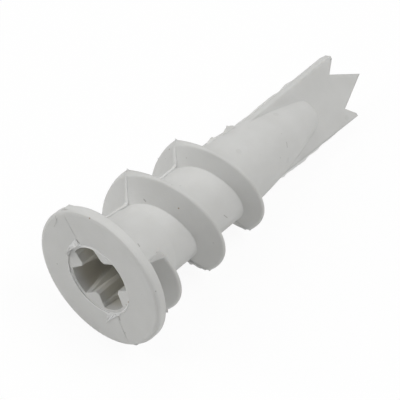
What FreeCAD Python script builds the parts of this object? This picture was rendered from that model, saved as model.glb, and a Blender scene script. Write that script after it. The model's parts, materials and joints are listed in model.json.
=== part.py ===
import FreeCAD, Part
import math
import operator
import os
import Sketcher

# Self-drilling drywall anchor, moulded in one piece of nylon in a two-part mould.
# Own frame: origin in the middle of the head's face, axis along +Z to the cutting tip, parting plane at X = 0.
# The body's placement then lays the part on the ground. All sizes are in millimetres, angles in degrees.

doc = FreeCAD.newDocument("drywall_anchor")

SIZES = {
    "head_radius": 6.75,
    "head_thickness": 0.95,
    "head_edge": 0.32,
    "rim_corner_rise": 0.16,
    "rim_corner_half_width": 1.2,
    "neck_radius": 4.15,
    "neck_end": 6.0,
    "core_radius": 3.65,
    "taper_start": 15.0,
    "taper_bulge": 0.5,
    "nose_radius": 1.85,
    "nose_end": 29.9,
    "nose_round": 0.85,
    "pitch": 6.24,
    "first_turn": 3.31,
    "turn_wave": 1.4,
    "crest_radius": 6.38,
    "start_relief": 0.28,
    "crest_corner": 0.5,
    "crest_cone": 0.077,
    "crest_land": 0.25,
    "crest_bevel": 0.36,
    "head_flank": 0.63,
    "flank_swing": 0.16,
    "tip_flank": 0.55,
    "tooth_root": 2.9,
    "blade_start": 19.0,
    "blade_root_width": 6.3,
    "blade_tip_width": 6.9,
    "blade_half_thickness": 0.75,
    "blade_edge_step": 0.12,
    "prong_end": 35.5,
    "prong_flat": 0.3,
    "notch_bottom": 34.3,
    "notch_offset": 1.9,
    "point_end": 38.15,
    "ridge_height": 0.2,
    "ridge_half_width": 0.32,
    "ridge_seat": 0.1,
    "ridge_end": 22.5,
    "recess_radius": 3.42,
    "recess_step": 0.08,
    "dish_radius": 1.7,
    "dish_depth": 0.3,
    "slot_width": 2.65,
    "corner_bevel": 0.28,
    "wing_radius": 3.15,
    "wing_depth": 5.3,
    "wing_end_radius": 2.85,
    "wing_end_width": 0.4,
    "inner_radius": 2.75,
    "inner_depth": 8.5,
    "inner_end_radius": 2.6,
    "inner_end_width": 2.45,
    "bore_radius": 1.55,
    "bore_end": 26.0,
    "bore_point": 1.0,
    "rest_roll": 43.15,
}

sheet = doc.addObject("Spreadsheet::Sheet", "sizes")
for row, (size_name, number) in enumerate(SIZES.items(), start=1):
    sheet.set("A%d" % row, size_name)
    sheet.set("B%d" % row, str(number))
    sheet.setAlias("B%d" % row, size_name)
doc.recompute()


class Measure:
    # a formula over the sheet together with its present value

    def __init__(self, text, value):
        self.text = text
        self.value = value

    def __add__(self, other):
        return joined(self, "+", other)

    def __radd__(self, other):
        return joined(other, "+", self)

    def __sub__(self, other):
        return joined(self, "-", other)

    def __rsub__(self, other):
        return joined(other, "-", self)

    def __mul__(self, other):
        return joined(self, "*", other)

    def __rmul__(self, other):
        return joined(other, "*", self)

    def __truediv__(self, other):
        return joined(self, "/", other)

    def __neg__(self):
        return joined(0, "-", self)

    def root(self):
        return Measure("sqrt(%s)" % self.text, math.sqrt(self.value))

    def bound(self):
        return "sizes." in self.text


OPERATIONS = {"+": operator.add, "-": operator.sub, "*": operator.mul, "/": operator.truediv}


def joined(left, sign, right):
    left = as_measure(left)
    right = as_measure(right)
    value = OPERATIONS[sign](left.value, right.value)
    return Measure("(%s %s %s)" % (left.text, sign, right.text), value)


def as_measure(item):
    if isinstance(item, Measure):
        return item
    return Measure("%.9f" % item, float(item))


def size(size_name):
    return Measure("sizes." + size_name, float(sheet.get(size_name)))


body = doc.addObject("PartDesign::Body", "anchor_body")
body.Label = "anchor_body"


def origin_plane(role):
    for feature in body.Origin.OriginFeatures:
        if feature.Role == role:
            return feature


def new_sketch(name, role, depth=0):
    # sketch on one of the body's planes, or at a depth behind it
    sketch = body.newObject("Sketcher::SketchObject", name)
    sketch.AttachmentSupport = [(origin_plane(role), "")]
    sketch.MapMode = "FlatFace"
    depth = as_measure(depth)
    sketch.AttachmentOffset = FreeCAD.Placement(FreeCAD.Vector(0, 0, depth.value), FreeCAD.Rotation())
    if depth.bound():
        sketch.setExpression("AttachmentOffset.Base.z", depth.text)
    return sketch


def pin(sketch, edge, end, point):
    # ties one end of an edge to its two measures
    for kind, measure in zip(("DistanceX", "DistanceY"), point):
        measure = as_measure(measure)
        row = sketch.addConstraint(Sketcher.Constraint(kind, -1, 1, edge, end, measure.value))
        if measure.bound():
            sketch.setExpression("Constraints[%d]" % row, measure.text)


def vector(point):
    return FreeCAD.Vector(as_measure(point[0]).value, as_measure(point[1]).value, 0)


def outline(sketch, points, bows={}):
    # closed outline with every corner tied to the sheet; bows has the middle point and the radius of a round side
    corners = [vector(point) for point in points]
    edges = []
    for index, corner in enumerate(corners):
        following = corners[(index + 1) % len(corners)]
        ends = (1, 2)
        if index in bows:
            middle = vector(bows[index][0])
            clockwise = (middle - corner).cross(following - middle).z < 0
            if clockwise:
                ends = (2, 1)
                curve = Part.Arc(following, middle, corner)
            else:
                curve = Part.Arc(corner, middle, following)
        else:
            curve = Part.LineSegment(corner, following)
        edges.append((sketch.addGeometry(curve, False), *ends))
    for index, (edge, start, end) in enumerate(edges):
        after, after_start, after_end = edges[(index + 1) % len(edges)]
        sketch.addConstraint(Sketcher.Constraint("Coincident", edge, end, after, after_start))
        pin(sketch, edge, start, points[index])
        if index in bows:
            radius = bows[index][1]
            row = sketch.addConstraint(Sketcher.Constraint("Radius", edge, radius.value))
            sketch.setExpression("Constraints[%d]" % row, radius.text)


def revolved_core():
    # head disc with a softened front edge, flared neck and tapering core with its blunt nose
    sketch = new_sketch("core_profile", "XZ_Plane")
    start = (size("core_radius"), size("taper_start"))
    rounding = size("nose_round")
    end = (size("nose_radius"), size("nose_end") - rounding)
    edge = size("head_edge")
    cut = 1 - math.sqrt(0.5)
    across = start[0] - end[0]
    along = end[1] - start[1]
    chord = (across * across + along * along).root()
    bulge = size("taper_bulge")
    middle = ((start[0] + end[0]) / 2 + bulge * along / chord, (start[1] + end[1]) / 2 + bulge * across / chord)
    radius = (chord * chord / 4 + bulge * bulge) / (bulge * 2)
    points = [
        (0, 0),
        (size("head_radius") - edge, 0),
        (size("head_radius") - edge * cut, edge * cut),
        (size("head_radius"), edge),
        (size("head_radius"), size("head_thickness")),
        (size("neck_radius"), size("head_thickness")),
        (size("core_radius"), size("neck_end")),
        start,
        end,
        (end[0] - rounding * cut, end[1] + rounding * (1 - cut)),
        (end[0] - rounding, size("nose_end")),
        (0, size("nose_end")),
    ]
    outline(sketch, points, {7: (middle, radius)})
    turned = body.newObject("PartDesign::Revolution", "head_and_core")
    turned.Profile = sketch
    turned.ReferenceAxis = (sketch, ["V_Axis"])
    turned.Angle = 360
    doc.recompute()


def half_turn(name, middle, side, angles, relief=0):
    # thread in one mould half; it leans from the upper to the lower corner and grows sharp corners at the parting
    reach = size("pitch") / 4 - size("turn_wave")
    sections = []
    for angle in angles:
        turn = math.radians(angle)
        swell = (1 - math.sin(turn)) ** 3
        crest_z = middle - size("turn_wave") * math.cos(turn) - reach * math.copysign(swell, math.cos(turn))
        crest_r = size("crest_radius") + size("crest_corner") * swell - size("crest_cone") * crest_z - relief
        lip_r = crest_r - size("crest_bevel") * (0.2 + 0.8 * swell)
        lip_z = crest_z - size("crest_land") * (1 + swell)
        root_r = size("tooth_root")
        flank = size("head_flank") - size("flank_swing") * (math.cos(turn) * (1 - swell))
        points = [
            (root_r, lip_z - flank * (lip_r - root_r)),
            (lip_r, lip_z),
            (crest_r, crest_z),
            (root_r, crest_z + size("tip_flank") * (crest_r - root_r)),
        ]
        sketch = new_sketch("%s_at_%d" % (name, angle), "XZ_Plane")
        heading = FreeCAD.Rotation(FreeCAD.Vector(0, 1, 0), 90 + angle + side)
        sketch.AttachmentOffset = FreeCAD.Placement(FreeCAD.Vector(), heading)
        outline(sketch, points)
        sections.append(sketch)
    loft = body.newObject("PartDesign::AdditiveLoft", name)
    loft.Profile = sections[0]
    loft.Sections = sections[1:]
    loft.Ruled = False
    loft.Refine = False
    doc.recompute()


def thread():
    # right-handed, one start; each turn is two half turns, one from each mould half
    half = [0, 10, 24, 50, 90, 130, 156, 170, 180]
    middle = size("first_turn")
    step = size("pitch") / 2
    half_turn("turn_1", middle, 0, half[4:], size("start_relief"))
    half_turn("turn_2", middle + step, 180, half)
    half_turn("turn_3", middle + step * 2, 0, half)
    half_turn("turn_4", middle + step * 3, 180, half)
    half_turn("turn_5", middle + step * 4, 0, half)
    half_turn("turn_6", middle + step * 5, 180, half[:5])


def drafted_plate(name, outlines):
    # plate lying in the parting plane, widest there and drafted towards both mould halves
    sections = []
    for number, (depth, points) in enumerate(outlines, start=1):
        sketch = new_sketch("%s_outline_%d" % (name, number), "YZ_Plane", depth)
        outline(sketch, points)
        sections.append(sketch)
    loft = body.newObject("PartDesign::AdditiveLoft", name)
    loft.Profile = sections[0]
    loft.Sections = sections[1:]
    loft.Ruled = True
    loft.Refine = False
    doc.recompute()


def mirrored(points):
    # outline given on one side of the axis, completed on the other side
    return points + [(-across, along) for across, along in reversed(points)]


def blade():
    # flat cutting blade ending in a middle point between two prongs

    def shape(inset):
        root = size("blade_root_width") / 2 - inset
        tip = size("blade_tip_width") / 2 - inset
        notch = size("notch_offset")
        flat = size("prong_flat")
        return [
            (root, size("blade_start")),
            (tip, size("prong_end") - inset),
            (tip - flat, size("prong_end") - inset),
            (notch, size("notch_bottom") - inset),
            (0, size("point_end") - inset),
            (-notch, size("notch_bottom") - inset),
            (flat - tip, size("prong_end") - inset),
            (-tip, size("prong_end") - inset),
            (-root, size("blade_start")),
        ]

    depth = size("blade_half_thickness")
    inset = size("blade_edge_step")
    drafted_plate("blade", [(-depth, shape(inset)), (0, shape(as_measure(0))), (depth, shape(inset))])


def parting_ridge():
    # low ridge that the joint of the mould halves leaves along the core and across the rim

    def shape(height):
        neck = size("neck_radius") + height
        core = size("core_radius") + height
        return mirrored([
            (neck, size("head_thickness") / 2),
            (core, size("neck_end")),
            (core, size("taper_start")),
            (size("blade_root_width") / 2 - size("ridge_height") + height, size("ridge_end")),
        ])

    depth = size("ridge_half_width")
    seat = shape(-size("ridge_seat"))
    drafted_plate("parting_ridge", [(-depth, seat), (0, shape(size("ridge_height"))), (depth, seat)])


def rim_corners():
    # the joint of the mould halves leaves the rim pointed at both ends of the parting plane
    sketch = new_sketch("rim_corner_outline", "XY_Plane", size("head_edge"))
    wide = size("rim_corner_half_width")
    peak = size("head_radius") + size("rim_corner_rise")
    shoulder = size("head_radius") - wide * wide / size("head_radius")
    outline(sketch, [(wide, -shoulder), (wide, shoulder), (0, peak), (-wide, shoulder), (-wide, -shoulder), (0, -peak)])
    plate = body.newObject("PartDesign::Pad", "rim_corners")
    plate.Profile = sketch
    plate.setExpression("Length", "sizes.head_thickness - sizes.head_edge")
    doc.recompute()


def cross_outline(name, radius, width, depth, bevel):
    # cross whose arms end on a circle and whose four inner corners are bevelled
    sketch = new_sketch(name, "XY_Plane", depth)
    near = width / 2
    far = (radius * radius - near * near).root()
    points = []
    for quarter in range(4):
        for x, y in [(near + bevel, near), (near, near + bevel), (near, far), (-near, far)]:
            for turn in range(quarter):
                x, y = -y, x
            points.append((x, y))
    ends = [(0, radius), (-radius, 0), (0, -radius), (radius, 0)]
    bows = {4 * quarter + 2: (ends[quarter], radius) for quarter in range(4)}
    outline(sketch, points, bows)
    return sketch


def tapered_cross(name, front, back):
    # each end is given by the arms' radius and width, its depth and the bevel of the corners
    sections = [cross_outline("%s_front" % name, *front), cross_outline("%s_back" % name, *back)]
    cross = body.newObject("PartDesign::SubtractiveLoft", name)
    cross.Profile = sections[0]
    cross.Sections = sections[1:]
    cross.Ruled = True
    doc.recompute()


def drive_recess():
    # wings that narrow quickly on the outside, around a deeper cross with hardly any draft
    bevel = size("corner_bevel")
    width = size("slot_width")
    wing_end = size("wing_end_width")
    tapered_cross("drive_wings", (size("wing_radius"), width, 0, bevel),
                  (size("wing_end_radius"), wing_end, size("wing_depth"), bevel * wing_end / width))
    tapered_cross("drive_cross", (size("inner_radius"), width, 0, bevel),
                  (size("inner_end_radius"), size("inner_end_width"), size("inner_depth"), bevel))


def dish_and_bore():
    # the four lands between the arms are slightly dished; a round blind hole takes the wood screw
    sketch = new_sketch("bore_profile", "XZ_Plane")
    points = [
        (0, 0),
        (size("recess_radius"), 0),
        (size("recess_radius"), size("recess_step")),
        (size("dish_radius"), size("dish_depth")),
        (size("bore_radius"), size("dish_depth")),
        (size("bore_radius"), size("bore_end") - size("bore_point")),
        (0, size("bore_end")),
    ]
    outline(sketch, points)
    groove = body.newObject("PartDesign::Groove", "dish_and_bore")
    groove.Profile = sketch
    groove.ReferenceAxis = (sketch, ["V_Axis"])
    groove.Angle = 360
    doc.recompute()


def lay_down():
    # lies as it comes to rest, on the head's rim and the crest of the last turn, tip towards +X;
    # the origin is on the ground, below the middle of the part
    roll = math.radians(size("rest_roll").value)
    touch_z = size("first_turn") + size("pitch") * 2.5 - size("turn_wave") * math.cos(roll)
    touch_r = size("crest_radius") + size("crest_corner") * (1 - math.sin(roll)) ** 3 - size("crest_cone") * touch_z
    drop = size("head_radius") - touch_r
    reach = touch_z - size("head_thickness")
    slant = (drop * drop + reach * reach).root()
    rise = (size("head_radius") * reach + size("head_thickness") * drop) / slant
    face_edge = (size("head_radius") - size("head_edge")) * drop / slant
    start = (face_edge - size("point_end") * reach / slant) / 2
    lean = math.degrees(math.atan2(drop.value, reach.value))
    turned = FreeCAD.Rotation(FreeCAD.Vector(0, 0, 1), 90 - size("rest_roll").value)
    tipped = FreeCAD.Rotation(FreeCAD.Vector(0, 1, 0), 90 + lean)
    body.Placement = FreeCAD.Placement(FreeCAD.Vector(start.value, 0, rise.value), tipped.multiply(turned))
    body.setExpression("Placement.Base.x", start.text)
    body.setExpression("Placement.Base.z", rise.text)
    doc.recompute()


def check():
    for item in doc.Objects:
        if "Invalid" in item.State or "Error" in item.State:
            raise RuntimeError("%s can't be built: %s" % (item.Name, item.State))
    for item in body.Group:
        if item.isDerivedFrom("PartDesign::Feature") and (item.Shape.isNull() or not item.Shape.isValid()):
            raise RuntimeError("%s has no valid shape" % item.Name)
    if body.Shape.isNull() or not body.Shape.isValid() or len(body.Shape.Solids) != 1:
        raise RuntimeError("the anchor isn't one valid solid")


revolved_core()
rim_corners()
thread()
blade()
parting_ridge()
drive_recess()
dish_and_bore()
lay_down()
check()
os.makedirs("parts", exist_ok=True)
body.Shape.exportStep("parts/anchor_body.step")
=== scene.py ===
import json
import math

import bmesh
import bpy
from mathutils import Matrix, Vector, noise


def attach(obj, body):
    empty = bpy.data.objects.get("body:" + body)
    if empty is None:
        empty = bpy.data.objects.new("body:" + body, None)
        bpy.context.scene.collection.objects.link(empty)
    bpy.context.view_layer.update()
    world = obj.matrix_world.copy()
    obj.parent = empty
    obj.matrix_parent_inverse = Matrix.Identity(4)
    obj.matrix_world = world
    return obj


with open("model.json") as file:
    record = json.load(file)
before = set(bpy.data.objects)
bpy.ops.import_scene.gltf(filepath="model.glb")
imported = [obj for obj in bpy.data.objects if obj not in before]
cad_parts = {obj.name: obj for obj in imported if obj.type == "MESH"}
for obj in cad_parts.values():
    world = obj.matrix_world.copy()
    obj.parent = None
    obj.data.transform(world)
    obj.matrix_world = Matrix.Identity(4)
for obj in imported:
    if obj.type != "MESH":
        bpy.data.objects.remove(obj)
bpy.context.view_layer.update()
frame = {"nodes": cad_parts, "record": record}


# The anchor's body: one injection moulding of grey-white nylon, with a matt, slightly waxy skin. It keeps the shape of
# the solid. The mould's two halves leave a witness line over the head's face, and handling leaves specks and scratches.
# Painted shade darkens the recess, and a painted highlight lightens two stretches of its step's edge.

mounts = {mount["name"]: mount for mount in frame["record"]["mounts"]}
face_middle = Vector(mounts["drive_recess"]["pos_m"])
along = -Vector(mounts["screw_bore"]["axis"]).normalized()
across = (Vector(mounts["head_face"]["pos_m"]) - face_middle).normalized()
parting = along.cross(across)

# Turns millimetres from the middle of the head's face (across the halves, along the parting plane, towards the tip)
# into the place on the floor.
millimetres = 1000.0
from_anchor = Matrix.Translation(face_middle) @ Matrix((across, parting, along)).transposed().to_4x4()
from_anchor = from_anchor @ Matrix.Scale(1 / millimetres, 4)

# the round step at the recess's mouth, which flash and scuffs follow
step_radius = 3.42


class Wire:
    """A shader socket that takes arithmetic: 1 - mask * 2 adds its Math nodes."""

    def __init__(self, tree, socket=None):
        self.tree = tree
        self.socket = socket

    def node(self, kind, settings=None, inputs=None, output=0):
        made = self.tree.nodes.new(kind)
        for name, value in (settings or {}).items():
            setattr(made, name, value)
        for name, value in (inputs or {}).items():
            if isinstance(value, Wire):
                self.tree.links.new(value.socket, made.inputs[name])
            else:
                made.inputs[name].default_value = value
        return Wire(self.tree, made.outputs[output])

    def also(self, output):
        """Another output of the node that this one comes from."""
        return Wire(self.tree, self.socket.node.outputs[output])

    def math(self, operation, *values):
        return self.node("ShaderNodeMath", {"operation": operation}, dict(enumerate(values)))

    def vector(self, operation, *values, output=0):
        return self.node("ShaderNodeVectorMath", {"operation": operation}, dict(enumerate(values)), output)

    def fade(self, value, start, end):
        """0 where value is at start, 1 where it is at end, and soft between."""
        return self.node(
            "ShaderNodeMapRange",
            {"interpolation_type": "SMOOTHSTEP"},
            {"Value": value, "From Min": start, "From Max": end},
        )

    def blend(self, share, first, second):
        """first where share is 0, second where it is 1, for colours."""
        return self.node("ShaderNodeMix", {"data_type": "RGBA"}, {0: share, 6: first, 7: second}, 2)

    def clouds(self, place, scale, detail=2.0, roughness=0.5):
        inputs = {"Vector": place, "Scale": scale, "Detail": detail, "Roughness": roughness}
        return self.node("ShaderNodeTexNoise", {}, inputs)

    def __add__(self, other):
        return self.math("ADD", self, other)

    def __radd__(self, other):
        return self.math("ADD", other, self)

    def __sub__(self, other):
        return self.math("SUBTRACT", self, other)

    def __rsub__(self, other):
        return self.math("SUBTRACT", other, self)

    def __mul__(self, other):
        return self.math("MULTIPLY", self, other)

    def __abs__(self):
        return self.math("ABSOLUTE", self)


def nylon(name, pale, dull, skin_edge, blade_edge=0.0, crest_edge=0.0):
    """Moulded nylon between two close greys, its corners rounded as given in metres; its marks are in millimetres."""
    material = bpy.data.materials.new(name)
    material.use_nodes = True
    shader = material.node_tree.nodes["Principled BSDF"]
    wire = Wire(material.node_tree)
    place = wire.vector("SUBTRACT", wire.node("ShaderNodeTexCoord", output="Object"), face_middle)
    place = wire.node("ShaderNodeVectorMath", {"operation": "SCALE"}, {0: place, "Scale": millimetres})
    x = wire.vector("DOT_PRODUCT", place, across, output="Value")
    y = wire.vector("DOT_PRODUCT", place, parting, output="Value")
    z = wire.vector("DOT_PRODUCT", place, along, output="Value")
    spot = wire.node("ShaderNodeCombineXYZ", {}, {"X": x, "Y": y, "Z": z})

    # the skin: slow and fine clouds, and faint streaks drawn out along the anchor
    mottle = wire.clouds(spot, 0.45, 3.0)
    grain = wire.clouds(spot, 9.0, 2.0)
    skin = wire.clouds(spot, 3.2, 4.0, 0.6)
    drawn = wire.vector("MULTIPLY", spot, (1.0, 1.0, 0.12))
    streaks = wire.clouds(drawn, 4.0, 2.0)

    # the witness line of the mould's halves: a hair-thin dark groove that wanders a little over the head's face, and
    # below the recess drifts off to one side
    sway = (wire.clouds(spot, 0.6, 2.0) - 0.5) * 0.35
    drift = wire.math("MINIMUM", y + 3.6, 0.0) * -0.13
    off_line = abs(x + sway - drift)
    on_face = wire.fade(z, 0.2, 0.05)
    outside_recess = wire.fade(abs(y), step_radius - 0.07, step_radius + 0.08)
    line = wire.fade(off_line, 0.06, 0.01) * on_face * outside_recess * wire.fade(abs(y), 6.5, 6.2)

    # short scratches, each from one end to the other, with its reach and depth
    dark = x * 0.0
    for tail, head, reach, depth in (
        ((-1.50, 3.72, 7.02), (-1.62, 3.49, 6.99), 0.065, 0.65),
        ((-3.36, -1.42, 12.67), (-3.11, -1.91, 13.07), 0.06, 0.55),
        ((-3.07, 0.11, 23.30), (-3.08, -0.31, 23.09), 0.065, 0.45),
        ((-3.61, 1.61, 2.86), (-3.71, 1.40, 2.83), 0.08, 0.5),
        ((-2.2, 2.9, 10.6), (-2.35, 2.7, 10.9), 0.05, 0.35),
        ((1.29, 6.41, 0.05), (1.31, 6.09, 0.0), 0.06, 0.5),
        ((1.31, 6.09, 0.0), (1.62, 5.77, 0.0), 0.055, 0.5),
        ((1.62, 5.77, 0.0), (2.2, 5.45, 0.0), 0.045, 0.35),
        ((0.02, 3.98, 0.0), (-0.1, 3.66, 0.0), 0.085, 0.6),
        ((-0.22, -3.60, 0.0), (-0.10, -4.05, 0.0), 0.14, 0.5),
        ((-4.33, 0.02, 2.70), (-3.82, 0.06, 4.10), 0.055, 0.4),
        ((3.27, 1.14, 0.02), (3.29, 0.19, 0.02), 0.07, 0.35),
        ((3.36, 0.10, 0.0), (3.28, -0.49, 0.02), 0.09, 0.45),
        ((3.28, -0.49, 0.02), (3.05, -1.28, 0.05), 0.06, 0.3),
    ):
        run = Vector(head) - Vector(tail)
        from_tail = wire.vector("SUBTRACT", spot, tail)
        share = wire.vector("DOT_PRODUCT", from_tail, run / run.length_squared, output="Value")
        share = wire.math("MINIMUM", wire.math("MAXIMUM", share, 0.0), 1.0)
        on_run = wire.node("ShaderNodeVectorMath", {"operation": "SCALE"}, {0: run, "Scale": share})
        away = wire.vector("DISTANCE", from_tail, on_run, output="Value")
        dark = dark + wire.fade(away, reach, reach * 0.25) * depth

    # specks of dust moulded into the skin, each with its reach and depth
    for at, reach, depth in (
        ((-4.24, -2.44, 9.55), 0.08, 0.5),
        ((-1.10, 4.19, 13.50), 0.07, 0.45),
        ((1.44, 4.51, 13.31), 0.07, 0.4),
        ((-4.04, 4.05, 8.52), 0.06, 0.35),
        ((-6.54, -1.52, 0.23), 0.09, 0.5),
        ((4.57, 1.83, 0.0), 0.10, 0.5),
        ((0.06, -5.38, 0.0), 0.10, 0.35),
        ((-2.88, 1.02, 23.35), 0.08, 0.3),
        ((-3.23, -0.64, 21.66), 0.08, 0.35),
        ((2.1, 4.9, 0.0), 0.05, 0.25),
        ((-4.9, -1.6, 0.0), 0.06, 0.25),
        ((3.4, -3.3, 0.0), 0.06, 0.2),
    ):
        away = wire.vector("DISTANCE", spot, at, output="Value")
        dark = dark + wire.fade(away, reach, reach * 0.3) * depth

    # finer dust, in about a third of cells two millimetres wide
    cells = wire.node("ShaderNodeTexVoronoi", {"feature": "F1"}, {"Vector": spot, "Scale": 0.5})
    lot = wire.vector("DOT_PRODUCT", cells.also("Color"), (1.0, 0.0, 0.0), output="Value")
    dark = dark + wire.fade(cells, 0.035, 0.012) * wire.fade(lot, 0.7, 0.72) * 0.25

    # brown specks, where the nylon scorched
    brown = x * 0.0
    for at, reach in (
        ((-4.02, 1.99, 8.04), 0.10),
        ((0.79, 5.19, 13.68), 0.09),
        ((-2.57, -2.27, 0.0), 0.11),
        ((-1.92, -2.63, 0.1), 0.09),
        ((-3.12, 5.83, 0.08), 0.10),
    ):
        away = wire.vector("DISTANCE", spot, at, output="Value")
        brown = brown + wire.fade(away, reach, reach * 0.35)

    # soft round spots where the skin sank, with a faint brim
    sunk = x * 0.0
    for at in ((-2.83, 2.23, 17.85), (-1.49, 2.34, 24.99), (-2.80, -1.46, 22.73), (-0.75, -2.78, 33.88)):
        away = wire.vector("DISTANCE", spot, at, output="Value")
        brim = wire.fade(away, 0.31, 0.25) * wire.fade(away, 0.18, 0.24)
        sunk = sunk + wire.fade(away, 0.30, 0.19) * 0.07 + brim * 0.04

    # places on the anchor: deep in the recess and towards the ends of its arms, which get painted shade, and two
    # stretches of the step's edge, which get a painted highlight against the shade at its foot
    radius = wire.math("SQRT", x * x + y * y)
    recess_shade = wire.fade(z, 0.15, 1.4) * wire.fade(radius, step_radius + 0.08, step_radius - 0.12) * wire.fade(z, 14.0, 9.0)
    arm_end_shade = wire.fade(radius, 2.92, 3.03)
    step_highlight_edge = wire.fade(abs(radius - (step_radius + 0.02)), 0.13, 0.05) * wire.fade(z, 0.25, 0.15)
    step_highlight_stretches = wire.fade(y, -1.0, -1.8) * wire.fade(x, 0.2, 0.9) + wire.fade(y, 1.2, 1.9) * wire.fade(x, -0.6, -1.2)

    # painted shade: the colour turns darker and warmer deep in the recess, and darker still towards the ends of the
    # arms
    recess_shade_tone, arm_end_shade_tone = (0.64, 0.62, 0.545, 1.0), (0.44, 0.41, 0.335, 1.0)
    painted_step_highlight = (0.80, 0.80, 0.79, 1.0)
    groove = (0.30, 0.295, 0.28, 1.0)
    dust = (0.16, 0.15, 0.13, 1.0)
    scorched = (0.24, 0.14, 0.06, 1.0)
    colour = wire.blend(wire.fade(mottle * 0.75 + grain * 0.25, 0.3, 0.7), dull, pale)
    # painted shade deep in the recess and at the arms' ends
    colour = wire.blend(recess_shade * 0.65, colour, wire.blend(arm_end_shade, recess_shade_tone, arm_end_shade_tone))
    # painted highlight on two stretches of the step's edge, lightening the shade at its foot
    colour = wire.blend(step_highlight_edge * step_highlight_stretches * 0.4, colour, painted_step_highlight)
    colour = wire.blend(line * 0.35, colour, groove)
    colour = wire.blend(wire.math("MINIMUM", dark + sunk, 1.0), colour, dust)
    colour = wire.blend(wire.math("MINIMUM", brown, 1.0) * 0.75, colour, scorched)

    # the mould's own corners are soft, most of all on the blade and less on its lower side and its middle point, and
    # least at the shallow step
    middle_point = wire.fade(z, 32.0, 34.0) * wire.fade(y, 2.6, 2.2)
    crisp = wire.math("MAXIMUM", wire.fade(y, -1.0, -2.0), middle_point)
    on_blade = wire.fade(z, 18.0, 23.0) * (1 - crisp * 0.6)
    on_crest = wire.fade(z, 2.4, 3.0) * wire.fade(radius, 4.2, 5.0)
    at_step = wire.fade(abs(radius - step_radius), 0.4, 0.25) * wire.fade(z, 0.5, 0.3)
    softness = (on_blade * blade_edge + on_crest * crest_edge + skin_edge) * (1 - at_step * 0.8)
    soft_edges = wire.node("ShaderNodeBevel", {"samples": 6}, {"Radius": softness})
    height = skin * 0.45 + grain * 0.25 + streaks * 0.3 - line * 0.6 - dark * 0.5 - sunk * 1.5
    relief_height = 0.00006
    relief = wire.node(
        "ShaderNodeBump", {}, {"Strength": 0.35, "Distance": relief_height, "Height": height, "Normal": soft_edges}
    )

    links = material.node_tree.links
    links.new(colour.socket, shader.inputs["Base Color"])
    links.new((0.44 + mottle * 0.12 + grain * 0.06).socket, shader.inputs["Roughness"])
    links.new(relief.socket, shader.inputs["Normal"])
    shader.inputs["IOR"].default_value = 1.5
    shader.inputs["Subsurface Weight"].default_value = 0.25
    shader.inputs["Subsurface Radius"].default_value = (1.0, 0.95, 0.85)
    shader.inputs["Subsurface Scale"].default_value = 0.0005
    return material


body_nylon = nylon(
    "body_nylon",
    pale=(0.575, 0.575, 0.562, 1.0),
    dull=(0.545, 0.545, 0.531, 1.0),
    skin_edge=0.00015,
    blade_edge=0.0003,
    crest_edge=0.0002,
)
body = frame["nodes"]["anchor_body"]
body.data.materials.clear()
body.data.materials.append(body_nylon)


# Flash around the recess: thin nylon that crept between the core pin and the mould's face and stands as a burr along
# the recess's edge. Each burr is a fine uneven fin, grown out of the face and thinning to nothing at both ends.

flash_nylon = nylon("flash_nylon", pale=(0.61, 0.61, 0.597, 1.0), dull=(0.57, 0.57, 0.556, 1.0), skin_edge=0.00003)
# torn flash is paler, as torn nylon whitens, and paler still as painted light for its lit faces and edges
torn_nylon_painted_light = nylon("torn_nylon_painted_light", pale=(0.76, 0.76, 0.75, 1.0), dull=(0.66, 0.66, 0.65, 1.0), skin_edge=0.00002)


def smooth_between(stops, share):
    """The value at share, from 0 to 1, of a curve through (share, value) stops."""
    for (start, low), (end, high) in zip(stops, stops[1:]):
        if share <= end:
            part = (share - start) / (end - start)
            part = part * part * (3 - 2 * part)
            return low + (high - low) * part
    return stops[-1][1]


def anchor_mesh(name, points, faces, finish=flash_nylon):
    """A closed mesh from points in millimetres of the anchor, in its place on the floor, its faces turned outwards."""
    sharp_angle = 55
    mesh = bpy.data.meshes.new(name)
    shape = bmesh.new()
    corners = [shape.verts.new(from_anchor @ Vector(point)) for point in points]
    for face in faces:
        shape.faces.new([corners[index] for index in face])
    if shape.calc_volume(signed=True) < 0:
        bmesh.ops.reverse_faces(shape, faces=shape.faces[:])
    shape.to_mesh(mesh)
    shape.free()
    mesh.polygons.foreach_set("use_smooth", [True] * len(mesh.polygons))
    mesh.set_sharp_from_angle(angle=math.radians(sharp_angle))
    piece = bpy.data.objects.new(name, mesh)
    bpy.context.scene.collection.objects.link(piece)
    piece.data.materials.append(finish)
    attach(piece, "root")


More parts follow.
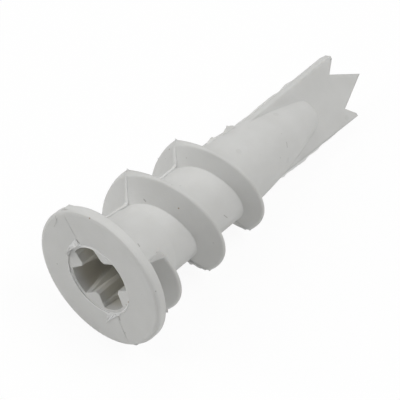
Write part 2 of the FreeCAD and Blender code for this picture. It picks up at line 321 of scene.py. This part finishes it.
def fin(name, path, outward, width, height, roughness, seed, sunk=0.05, steps=60, finish=flash_nylon):
    """A fin of moulded flash along a path on the anchor, standing along outward and ragged by roughness.

    Width and height are lists of (share of the path, millimetres) stops.
    """
    # across the fin: the place as a share of its width, and the rise as one of its height, or None for the sunk foot
    profile = [(-0.5, None), (-0.5, 0.03), (-0.3, 0.35), (-0.1, 0.93)]
    profile += [(0.1, 1.0), (0.32, 0.38), (0.5, 0.03), (0.5, None)]
    waves, fine_waves = 9.0, 26.0
    # how far the waves move the fin's width, its place and its lean, as shares of that width
    width_stray, side_stray, lean_stray = 0.5, 0.35, 0.25
    path = [Vector(point) for point in path]
    lengths = [0.0]
    for before, after in zip(path, path[1:]):
        lengths.append(lengths[-1] + (after - before).length)
    middle_line = []
    for step in range(steps + 1):
        want = lengths[-1] * step / steps
        index = max(i for i in range(len(path) - 1) if lengths[i] <= want + 1e-9)
        part = (want - lengths[index]) / (lengths[index + 1] - lengths[index])
        middle_line.append(path[index].lerp(path[index + 1], part))
    points = []
    for step, middle in enumerate(middle_line):
        ahead = middle_line[min(step + 1, steps)] - middle_line[max(step - 1, 0)]
        up = Vector(outward(middle)) if callable(outward) else Vector(outward)
        side = ahead.cross(up).normalized()
        share = step / steps
        wild = noise.noise(Vector((share * waves, seed, 0.0))) * roughness
        wilder = noise.noise(Vector((share * fine_waves, seed, 4.0))) * roughness
        wide = smooth_between(width, share) * (1 + width_stray * wild)
        high = smooth_between(height, share) * (1 + wild + 0.6 * wilder)
        middle = middle + side * wide * side_stray * (wild + 0.5 * wilder)
        lean = wide * lean_stray * wild
        for sideways, rise in profile:
            lift = -sunk if rise is None else high * rise
            points.append(middle + side * (wide * sideways + lean * (rise or 0)) + up * lift)
    ring = len(profile)
    faces = []
    for step in range(steps):
        for k in range(ring):
            a = step * ring + k
            b = step * ring + (k + 1) % ring
            faces.append((a, b, b + ring, a + ring))
    faces.append(tuple(reversed(range(ring))))
    faces.append(tuple(range(steps * ring, (steps + 1) * ring)))
    anchor_mesh(name, points, faces, finish)


def rim_arc(start, end, radius, depth=0.0, count=24):
    """Points along the recess's edge, the angles in degrees from the parting line towards the near half."""
    points = []
    for step in range(count + 1):
        turn = math.radians(start + (end - start) * step / count)
        points.append((-radius * math.sin(turn), radius * math.cos(turn), depth))
    return points


# each burr: its arc (start, end, radius, depth), then its width and height at the stops
out_of_face = (0.0, 0.0, -1.0)
stops = (0.0, 0.2, 0.5, 0.8, 1.0)
for name, arc, widths, heights, roughness, seed in (
    ("burr_top", (-30, 60, 3.37, 0.0),
     (0.03, 0.17, 0.20, 0.15, 0.02), (0.01, 0.07, 0.10, 0.08, 0.01), 0.35, 1.0),
    ("burr_bottom", (118, 200, 3.44, 0.0),
     (0.02, 0.12, 0.18, 0.16, 0.02), (0.005, 0.05, 0.08, 0.07, 0.005), 0.5, 2.0),
    ("burr_far_outer", (-52, -98, 3.47, 0.0),
     (0.02, 0.10, 0.13, 0.12, 0.03), (0.005, 0.03, 0.05, 0.05, 0.01), 1.1, 3.0),
    ("burr_far_inner", (-66, -108, 3.31, 0.06),
     (0.02, 0.09, 0.13, 0.10, 0.02), (0.005, 0.05, 0.08, 0.06, 0.01), 1.3, 4.0),
):
    width = list(zip(stops, widths))
    height = list(zip(stops, heights))
    fin(name, rim_arc(*arc), out_of_face, width, height, roughness, seed, sunk=0.3, finish=torn_nylon_painted_light)


# Torn flash: where the witness line meets the recess, the flash was dragged over the face as the core pin drew out.
# It lies there as two thin ragged tongues, grown from the recess's edge and feathered out at their free side.


def tongue(name, inner, outer, near_rise, far_rise, seed, columns=36, rows=10):
    """A ragged tongue of flash on the head's face between two lines, as high as given at each of them."""
    thinnest, foot = 0.012, 0.05
    end_slope = 5
    # how many waves its ragged side and its creases have along the tongue, and how far they reach
    rags, rag_reach = 14.0, 0.16
    fine_rags, fine_rag_reach = 34.0, 0.1
    creases, crease_reach = 20.0, 1.1
    points = []

    def along_line(line, share):
        place = share * (len(line) - 1)
        index = min(int(place), len(line) - 2)
        return Vector(line[index]).lerp(Vector(line[index + 1]), place - index)

    for column in range(columns + 1):
        share = column / columns
        near = along_line(inner, share)
        far = along_line(outer, share)
        ragged = 1 + rag_reach * noise.noise(Vector((share * rags, seed, 0.0)))
        ragged += fine_rag_reach * noise.noise(Vector((share * fine_rags, seed, 3.0)))
        for row in range(rows + 1):
            out = row / rows
            place = near.lerp(far, out * ragged)
            crease = noise.noise(Vector((share * creases, out * 1.5, seed)))
            height = (near_rise + (far_rise - near_rise) * out) * (0.85 + crease_reach * crease)
            height *= min(1.0, end_slope * share) * min(1.0, end_slope * (1 - share))
            points.append((place.x, place.y, -max(height, thinnest)))
    points += [(x, y, foot) for x, y, _ in points]
    lower = (columns + 1) * (rows + 1)
    faces = []
    for column in range(columns):
        for row in range(rows):
            a = column * (rows + 1) + row
            b = a + rows + 1
            faces.append((a, a + 1, b + 1, b))
            faces.append((lower + a, lower + b, lower + b + 1, lower + a + 1))
        for row in (0, rows):
            a = column * (rows + 1) + row
            b = a + rows + 1
            side = (a, b, lower + b, lower + a)
            faces.append(side if row == 0 else tuple(reversed(side)))
    for column in (0, columns):
        for row in range(rows):
            a = column * (rows + 1) + row
            side = (a, lower + a, lower + a + 1, a + 1)
            faces.append(side if column == 0 else tuple(reversed(side)))
    anchor_mesh(name, points, faces, torn_nylon_painted_light)


top_edge = [(2.5, 2.75, 0), (1.95, 3.22, 0), (1.4, 3.52, 0), (0.85, 3.78, 0)]
top_edge += [(0.3, 4.06, 0), (0.02, 3.86, 0), (-0.2, 3.56, 0)]
tongue("torn_flash_top", rim_arc(-45, 4, 3.43), top_edge, near_rise=0.34, far_rise=0.02, seed=11.0)
bottom_edge = [(1.4, -3.2, 0), (1.2, -3.42, 0), (1.3, -3.75, 0), (1.81, -4.25, 0)]
bottom_edge += [(0.85, -3.9, 0), (0.1, -3.68, 0), (-0.4, -3.6, 0), (-0.9, -3.36, 0)]
tongue("torn_flash_bottom", rim_arc(204, 164, 3.43), bottom_edge, near_rise=0.06, far_rise=0.10, seed=12.0)


# Webs of the recess: the two arms that point away from the parting plane narrow with depth, and their slanting walls
# run on inwards past the deep cross as low webs, moulded in one with the body. There are two to an arm.

# each end of a web: its depth, its inner radius, and how far from the arm's middle its top lies there
web_ends = ((0.2, 2.58, 1.293), (5.2, 2.0, 0.231))
web_outside = 2.78
wall_edge = 1.36
web_steps = 4
for arm, arm_name in ((1, "far"), (-1, "near")):
    for side, side_name in ((1, "top"), (-1, "low")):
        points = []
        for depth, inner, top in web_ends:
            rises = [top + (wall_edge - top) * step / web_steps for step in range(web_steps + 1)]
            for radius, order in ((inner, rises), (web_outside, reversed(rises))):
                points += [(arm * math.sqrt(radius**2 - y**2), side * y, depth) for y in order]
        count = len(points) // 2
        faces = [(k, (k + 1) % count, count + (k + 1) % count, count + k) for k in range(count)]
        faces.append(tuple(reversed(range(count))))
        faces.append(tuple(range(count, 2 * count)))
        anchor_mesh("recess_web_%s_%s" % (arm_name, side_name), points, faces, body_nylon)


# Witness ridges of the thread: the two halves of the mould met in a corner on each side of every turn and left a narrow
# bead there, down the flank and on along the core. The crest's corners carry a pip where the halves shut.


def bead(name, path, flank_out, seed):
    """A narrow bead along a corner of the thread, standing off the core and, further out, off the flank."""
    flank_start, turn_within = 3.95, 0.25

    def outward(middle):
        core_out = Vector((0.0, math.copysign(1.0, middle.y), 0.0))
        share = min(max((abs(middle.y) - flank_start) / turn_within, 0.0), 1.0)
        return core_out.lerp(Vector(flank_out), share).normalized()

    width = [(0.0, 0.26), (0.5, 0.32), (0.7, 0.44), (0.85, 0.36), (1.0, 0.26)]
    height = [(0.0, 0.03), (0.5, 0.06), (0.7, 0.08), (0.85, 0.07), (1.0, 0.03)]
    fin(name, path, outward, width, height, 0.2, seed, sunk=0.12, steps=90)


# the flanks' own directions, away from the axis and towards the tip
front_flank, back_flank = (0.533, -0.847), (0.48, 0.877)
for name, path, (away, ahead), seed in (
    ("bead_turn_2", [(0, 4.27, 1.1), (0, 3.86, 5.9), (0, 3.93, 6.22), (0, 5.93, 7.47)], front_flank, 31.0),
    ("bead_turn_3", [(0, 3.84, 9.5), (0, 3.84, 12.4), (0, 3.95, 12.78), (0, 5.45, 13.71)], front_flank, 32.0),
    ("bead_low_turn_1", [(0, -4.28, 1.1), (0, -4.1, 3.0), (0, -4.2, 3.3), (0, -5.87, 4.37)], front_flank, 33.0),
    ("bead_low_turn_2", [(0, -3.84, 6.4), (0, -3.84, 9.1), (0, -3.95, 9.52), (0, -5.68, 10.6)], front_flank, 34.0),
    ("bead_low_turn_3", [(0, -3.84, 12.6), (0, -3.78, 15.6), (0, -3.86, 15.98), (0, -5.2, 16.84)], front_flank, 35.0),
    ("bead_behind_turn_2", [(0, 3.84, 9.6), (0, 3.93, 9.28), (0, 6.2, 8.03)], back_flank, 36.0),
    ("bead_behind_turn_3", [(0, 3.8, 15.6), (0, 3.9, 15.27), (0, 5.72, 14.27)], back_flank, 37.0),
):
    bead(name, path, (0.0, math.copysign(away, path[0][1]), ahead), seed)

# half of a pip's length along the crest, and how far the crest has dropped away there
pip_half, pip_sag = 0.16, 0.07
for name, peak, rise, seed in (
    ("pip_turn_2", (0, 6.24, 7.97), 0.15, 41.0),
    ("pip_turn_3", (0, 5.76, 14.21), 0.15, 42.0),
    ("pip_low_turn_2", (0, -6.0, 11.09), 0.07, 43.0),
    ("pip_low_turn_3", (0, -5.52, 17.33), 0.07, 44.0),
):
    side = math.copysign(1.0, peak[1])
    ends = [(step * pip_half, peak[1] - side * pip_sag * step * step, peak[2]) for step in (-1, 0, 1)]
    width = [(0.0, 0.1), (0.5, 0.22), (1.0, 0.1)]
    height = [(0.0, 0.02), (0.45, rise), (1.0, 0.02)]
    fin(name, ends, (0.0, side, 0.0), width, height, 0.5, seed, sunk=0.12, steps=16)


# Witness lips on the head's face: along the line where the halves met, one side stands a few hundredths of a
# millimetre proud. By the rim a curl of flash was pressed down beside it.

for name, line, seed in (
    ("lip_face_top", [(0.07, 6.2), (0.0, 5.8), (0.03, 5.0), (-0.04, 4.4), (-0.06, 3.95)], 51.0),
    ("lip_face_bottom", [(0.0, -3.85), (0.14, -4.6), (0.24, -5.3), (0.42, -6.0), (0.45, -6.2)], 52.0),
    ("curl_by_rim", [(1.22, 6.30), (1.25, 6.12), (1.5, 5.82), (1.95, 5.55)], 53.0),
):
    path = [(x, y, 0.0) for x, y in line]
    width = [(0.0, 0.04), (0.2, 0.09), (0.8, 0.08), (1.0, 0.03)]
    height = [(0.0, 0.004), (0.2, 0.02), (0.8, 0.018), (1.0, 0.004)]
    fin(name, path, out_of_face, width, height, 0.5, seed)


# Flash along the parting line of the shank, the crests and the blade: where the mould's halves did not close quite
# tight it stands as small nubs, and as a thin ragged seam on both edges of the blade. Only tumbling trimmed it.

fin(
    "nub_blade_root",
    [(-0.1, 3.46, 18.5), (-0.1, 3.38, 19.2), (-0.12, 3.36, 19.7), (-0.12, 3.34, 20.3), (-0.08, 3.24, 20.95)],
    (-0.25, 0.97, 0.0),
    [(0.0, 0.1), (0.3, 0.3), (0.55, 0.52), (0.9, 0.5), (1.0, 0.14)],
    [(0.0, 0.05), (0.35, 0.32), (0.56, 0.54), (0.62, 0.74), (0.68, 0.56), (0.8, 0.50), (0.93, 0.38), (1.0, 0.05)],
    roughness=0.12,
    seed=21.0,
    sunk=0.25,
    steps=90,
)
fin(
    "nub_shank",
    [(0.0, 3.50, 16.9), (0.0, 3.52, 17.5), (0.0, 3.54, 18.0), (0.0, 3.47, 18.7)],
    (0.0, 1.0, 0.0),
    [(0.0, 0.10), (0.3, 0.34), (0.7, 0.34), (1.0, 0.08)],
    [(0.0, 0.12), (0.4, 0.34), (0.6, 0.42), (0.8, 0.26), (1.0, 0.05)],
    roughness=0.25,
    seed=22.0,
    sunk=0.25,
)

# the seam's height at depths along the blade, whose edge leaves the core at blade_root and spreads a little
blade_root, root_edge, edge_spread = 19.0, 3.06, 0.018
off_middle = 0.6
top_rises = [(20.9, 0.04), (22.0, 0.14), (24.0, 0.07), (25.5, 0.13)]
top_rises += [(27.3, 0.12), (28.4, 0.02), (29.7, 0.14), (31.0, 0.01)]
low_rises = [(22.3, 0.02), (23.4, 0.19), (26.5, 0.22), (27.2, 0.14)]
low_rises += [(28.6, 0.17), (29.4, 0.06), (30.6, 0.08), (33.0, 0.01)]
for name, side, rises, seed, finish in (
    ("flash_blade_top", 1, top_rises, 24.0, flash_nylon),
    ("flash_blade_low", -1, low_rises, 25.0, torn_nylon_painted_light),
):
    start, end = rises[0][0], rises[-1][0]
    depths = (start, (start + end) / 2, end)
    path = [(side * off_middle, side * (root_edge + edge_spread * (z - blade_root)), z) for z in depths]
    width = [(0.0, 0.1), (0.3, 0.34), (0.8, 0.34), (1.0, 0.1)]
    height = [((z - start) / (end - start), rise) for z, rise in rises]
    fin(name, path, (side * 0.5, side * 0.866, 0.0), width, height, 0.3, seed, sunk=0.2, steps=110, finish=finish)

fin(
    "nub_low_crest",
    [(0.0, -3.95, 9.3), (0.0, -4.3, 9.55), (0.0, -4.75, 9.95), (0.0, -5.3, 10.25)],
    (0.0, -0.6, -0.8),
    [(0.0, 0.1), (0.2, 0.3), (0.8, 0.24), (1.0, 0.1)],
    [(0.0, 0.02), (0.25, 0.14), (0.45, 0.04), (0.8, 0.09), (1.0, 0.02)],
    roughness=0.5,
    seed=26.0,
    sunk=0.2,
)
fin(
    "nub_far_crest",
    [(2.85, 4.44, 13.72), (3.08, 4.30, 13.86), (3.30, 4.14, 14.0)],
    (0.56, 0.82, -0.1),
    [(0.0, 0.10), (0.5, 0.24), (1.0, 0.10)],
    [(0.0, 0.02), (0.5, 0.14), (1.0, 0.02)],
    roughness=0.5,
    seed=23.0,
    sunk=0.15,
    steps=24,
)


# The floor: a plain pale sheet that runs out past the view. The camera sees most of it as plain white, and the rest as
# lit paper, so that the anchor's soft shadow stays on it.

floor_half = 3.0
white_share = 0.93
floor_mesh = bpy.data.meshes.new("floor")
corners = [(x * floor_half, y * floor_half, 0) for x, y in ((-1, -1), (1, -1), (1, 1), (-1, 1))]
floor_mesh.from_pydata(corners, [], [(0, 1, 2, 3)])
floor = bpy.data.objects.new("floor", floor_mesh)
bpy.context.scene.collection.objects.link(floor)
paper = bpy.data.materials.new("paper")
paper.use_nodes = True
paper.node_tree.nodes.clear()
wire = Wire(paper.node_tree)
rays = wire.node("ShaderNodeLightPath", output="Is Camera Ray")
sheet = wire.node("ShaderNodeBsdfDiffuse", {}, {"Color": (0.86, 0.86, 0.85, 1.0)})
white = wire.node("ShaderNodeEmission", {}, {"Color": (1.0, 1.0, 1.0, 1.0), "Strength": 1.0})
seen = wire.math("MINIMUM", rays + rays.also("Is Glossy Ray") + rays.also("Is Transmission Ray"), 1.0) * white_share
mixed = wire.node("ShaderNodeMixShader", {}, {0: seen, 1: sheet, 2: white})
output = paper.node_tree.nodes.new("ShaderNodeOutputMaterial")
paper.node_tree.links.new(mixed.socket, output.inputs["Surface"])
floor_mesh.materials.append(paper)


# Light: two wide soft lamps overhead on the tip's side and a lower one from beyond the head, in a white room.

scene = bpy.context.scene
scene.view_settings.view_transform = "Standard"
room = bpy.data.worlds.new("room")
scene.world = room
room.use_nodes = True
room.node_tree.nodes.clear()
wire = Wire(room.node_tree)
rays = wire.node("ShaderNodeLightPath", output="Is Camera Ray")
fill = wire.node("ShaderNodeBackground", {}, {"Color": (1.0, 1.0, 1.0, 1.0), "Strength": 0.27})
white = wire.node("ShaderNodeBackground", {}, {"Color": (1.0, 1.0, 1.0, 1.0), "Strength": 1.0})
mixed = wire.node("ShaderNodeMixShader", {}, {0: rays, 1: fill, 2: white})
output = room.node_tree.nodes.new("ShaderNodeOutputWorld")
room.node_tree.links.new(mixed.socket, output.inputs["Surface"])


lamp_distance = 0.35
lamp_size = 0.2
aim_height = 0.006


def lamp(name, azimuth, elevation, power):
    """A square soft lamp that faces the anchor, its angles in degrees from the tip's direction."""
    data = bpy.data.lights.new(name, "AREA")
    data.size = lamp_size
    data.energy = power
    level = math.cos(math.radians(elevation))
    heading = Vector((level * math.cos(math.radians(azimuth)), level * math.sin(math.radians(azimuth)), 0))
    heading.z = math.sin(math.radians(elevation))
    holder = bpy.data.objects.new(name, data)
    bpy.context.scene.collection.objects.link(holder)
    holder.location = heading * lamp_distance + Vector((0, 0, aim_height))
    holder.rotation_euler = (-heading).to_track_quat("-Z", "Y").to_euler()


lamp("near_tip_lamp", 300, 60, 0.68)
lamp("far_tip_lamp", 60, 60, 0.31)
lamp("head_lamp", 135, 30, 0.47)


# The camera: as the photograph was taken, from beyond the head and above, with a long lens. Its place is in millimetres
# and its directions are in the anchor's own axes, so it follows the way in which the anchor lies.

eye = from_anchor @ Vector((-104.63064, 38.63230, -67.39514))
turn = from_anchor.to_3x3().normalized()
right = turn @ Vector((-0.64717524, -0.42735482, 0.63129396))
down = turn @ Vector((0.07363471, -0.85926933, -0.50619576))
ahead = turn @ Vector((0.75877674, -0.28111222, 0.58756599))
film_width = 36.0
lens_to_film = 3.8232
view = bpy.data.cameras.new("camera")
view.sensor_width = film_width
view.lens = lens_to_film * film_width
view.clip_start = 0.005
view.clip_end = 20.0
camera = bpy.data.objects.new("camera", view)
scene.collection.objects.link(camera)
camera.matrix_world = Matrix.Translation(eye) @ Matrix((right, -down, -ahead)).transposed().to_4x4()
scene.camera = camera


bpy.context.view_layer.update()
